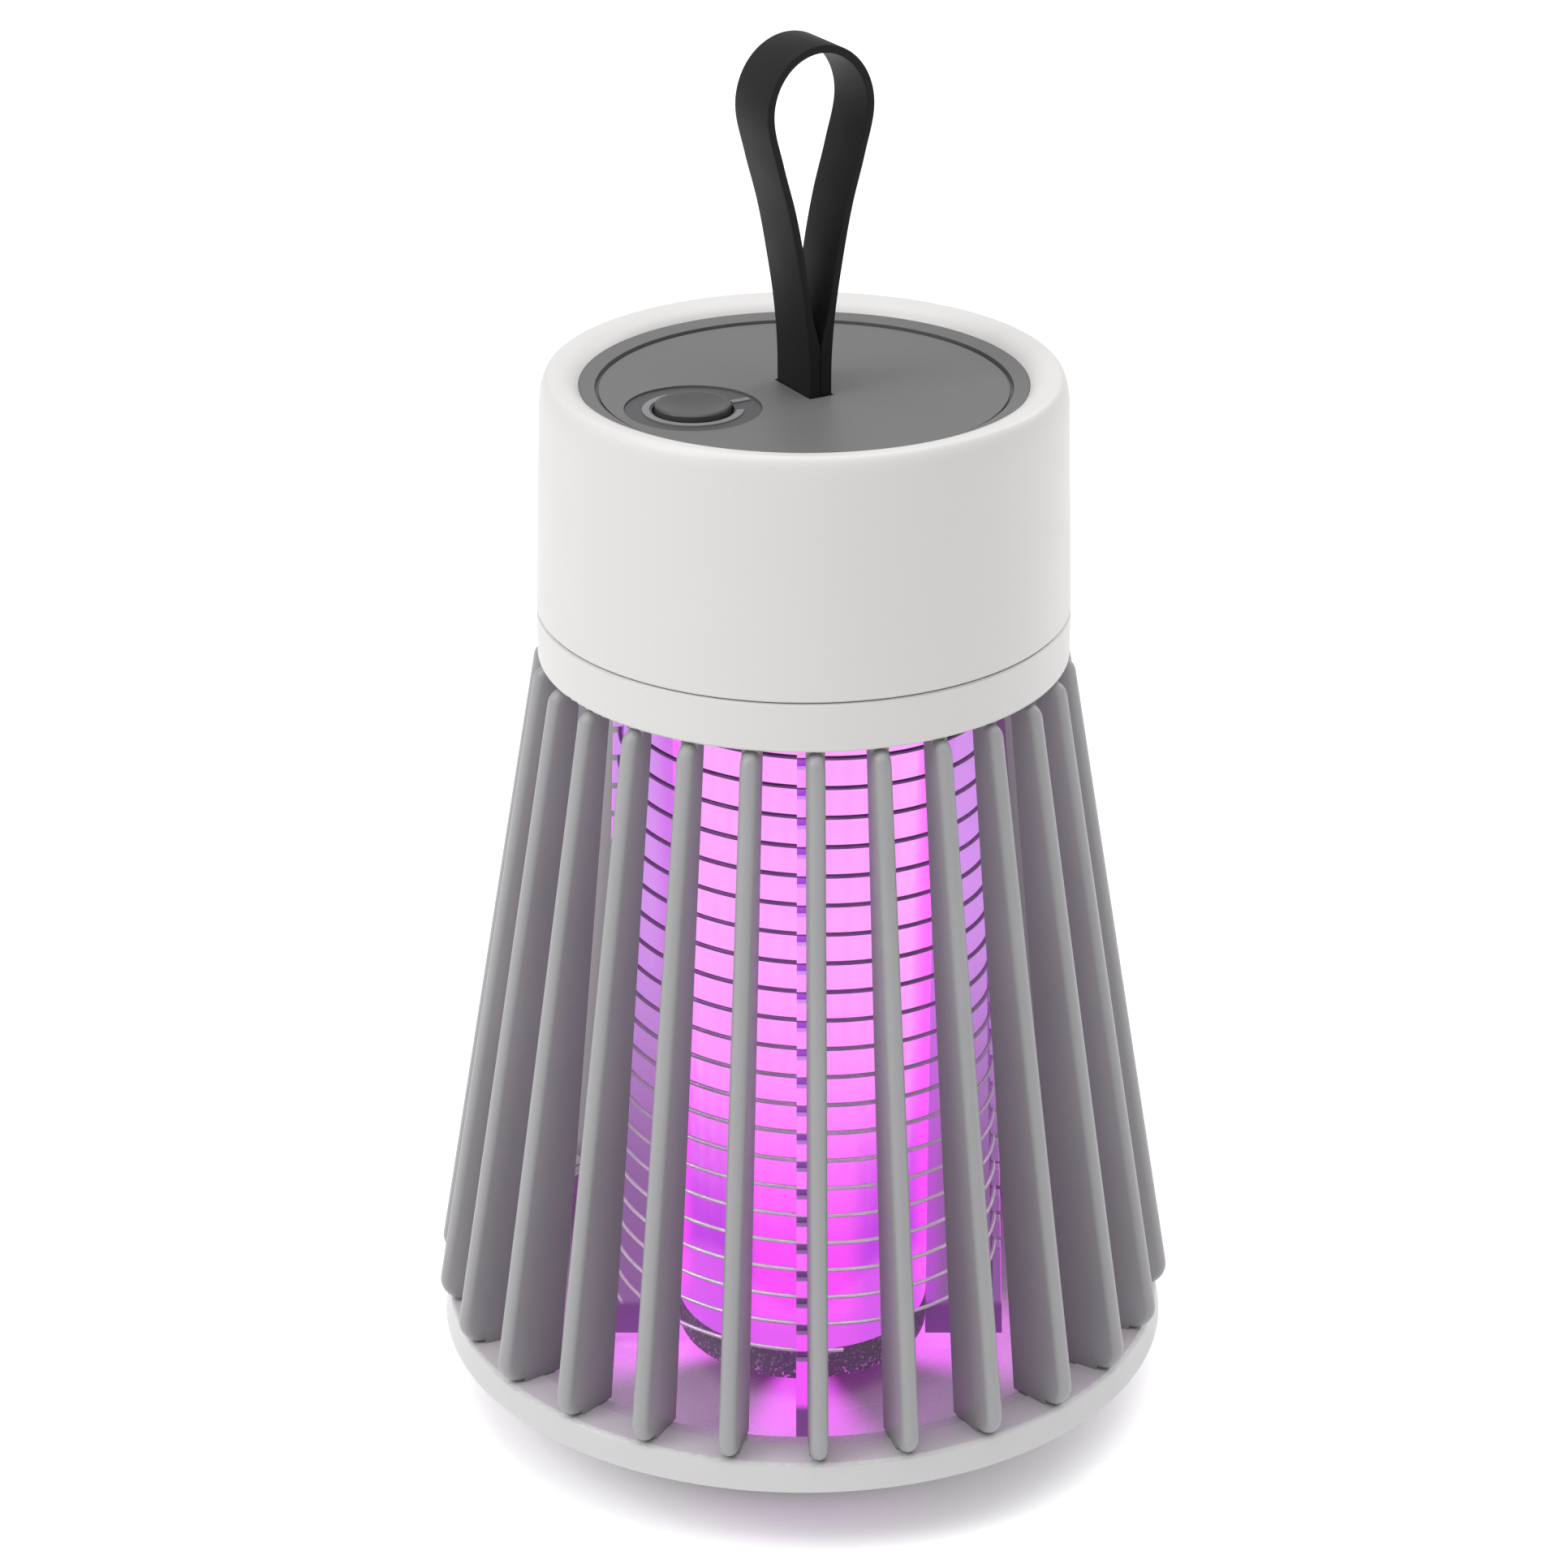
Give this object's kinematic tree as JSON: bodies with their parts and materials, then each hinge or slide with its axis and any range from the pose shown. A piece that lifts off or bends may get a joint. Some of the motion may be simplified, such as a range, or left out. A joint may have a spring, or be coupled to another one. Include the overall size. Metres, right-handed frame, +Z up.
{
  "type": "electric bug zapper",
  "caption": "Small lantern-shaped electric bug zapper: grey fin cage on a round tray, white head with grey top disc, power button and strap, pink-lit tube with wire grid inside.",
  "frame": {"origin": "centre of the feet's underside, on the floor", "axes": "+Z up through the head, -Y towards the power button, +Y towards the charging socket, +X across"},
  "size_m": [0.0862, 0.0856, 0.1618],
  "materials": {
    "ring_white": "light grey-white, satin gloss",
    "tray_white": "white, glossy enough to mirror the lamp's glow",
    "rubber_grey": "dull",
    "fin_grey": "mid grey, satin, with light highlights on the rounded outer edges",
    "silicone_clear": "milky, dull",
    "shell_white": "warm white-grey, soft satin",
    "screw_steel": "bright zinc",
    "disc_grey": "mid grey, fine matt texture",
    "bezel_dark": "near black",
    "sign_white": "pale grey paint",
    "button_grey": "grey, satin",
    "strap_black": "black silicone, soft sheen",
    "board_green": "solder resist",
    "board_white": "white solder resist",
    "switch_black": "moulded",
    "socket_steel": "stamped",
    "cell_wrap": "shrink sleeve",
    "cradle_black": "moulded",
    "nickel": "nickel plated",
    "ferrite": "dark, taped",
    "capacitor_blue": "dipped",
    "carrier_dark": "dark grey",
    "tube_clear": "clear tube lit pink from inside",
    "holder_dark": "dark, finely textured",
    "reflector_white": "white, lit from above",
    "led_violet": "ultraviolet diodes, lit",
    "wing_white": "translucent white, lit lilac near the lamp",
    "wire_steel": "bare steel wire"
  },
  "bodies": {
    "cage": {"base_ring": "ring_white", "base_tray": "tray_white", "foot_pads": "rubber_grey", "cage_fins": "fin_grey", "cage_collar": "fin_grey"},
    "lock_ring": {"preload_ring": "silicone_clear"},
    "head": {"lower_shell": "shell_white", "upper_shell": "shell_white", "shell_screws": "screw_steel", "top_disc": "disc_grey", "button_bezel": "bezel_dark", "power_sign": "sign_white", "strap_root": "strap_black", "main_board": "board_green", "board_screws": "screw_steel", "tact_switch": "switch_black", "usb_socket": "socket_steel", "board_chips": "switch_black", "battery_cell": "cell_wrap", "battery_cradle": "cradle_black", "battery_tabs": "nickel", "hv_transformer": "ferrite", "hv_capacitors": "capacitor_blue", "hv_pins": "nickel", "led_pins": "nickel", "grid_carrier": "carrier_dark", "grid_screws": "screw_steel", "light_tube": "tube_clear", "tube_holder": "holder_dark", "reflector_cone": "reflector_white", "led_board": "board_white", "uv_leds": "led_violet", "grid_wing_1": "wing_white", "grid_wing_2": "wing_white", "grid_wing_3": "wing_white", "grid_wing_4": "wing_white", "grid_wire_1": "wire_steel", "grid_wire_2": "wire_steel"},
    "button": {"button_cap": "button_grey"},
    "strap": {"strap_loop": "strap_black"}
  },
  "joints": [
    {"name": "head_twist", "type": "hinge", "parent": "cage", "child": "lock_ring", "pos_m": [0, 0, 0.0954], "axis": [0, 0, 1], "range_deg": [0, 20]},
    {"name": "head_lift", "type": "slide", "parent": "lock_ring", "child": "head", "axis": [0, 0, 1], "range_m": [0, 0.1]},
    {"name": "button_press", "type": "slide", "parent": "head", "child": "button", "axis": [0, 0, -1], "range_m": [0, 0.0008], "stiffness_N_per_m": 600, "springref_m": -0.0005},
    {"name": "strap_fold", "type": "hinge", "parent": "head", "child": "strap", "pos_m": [0, 0, 0.12499], "axis": [1, 0, 0], "range_deg": [-70, 70], "stiffness_Nm_per_rad": 0.004}
  ]
}
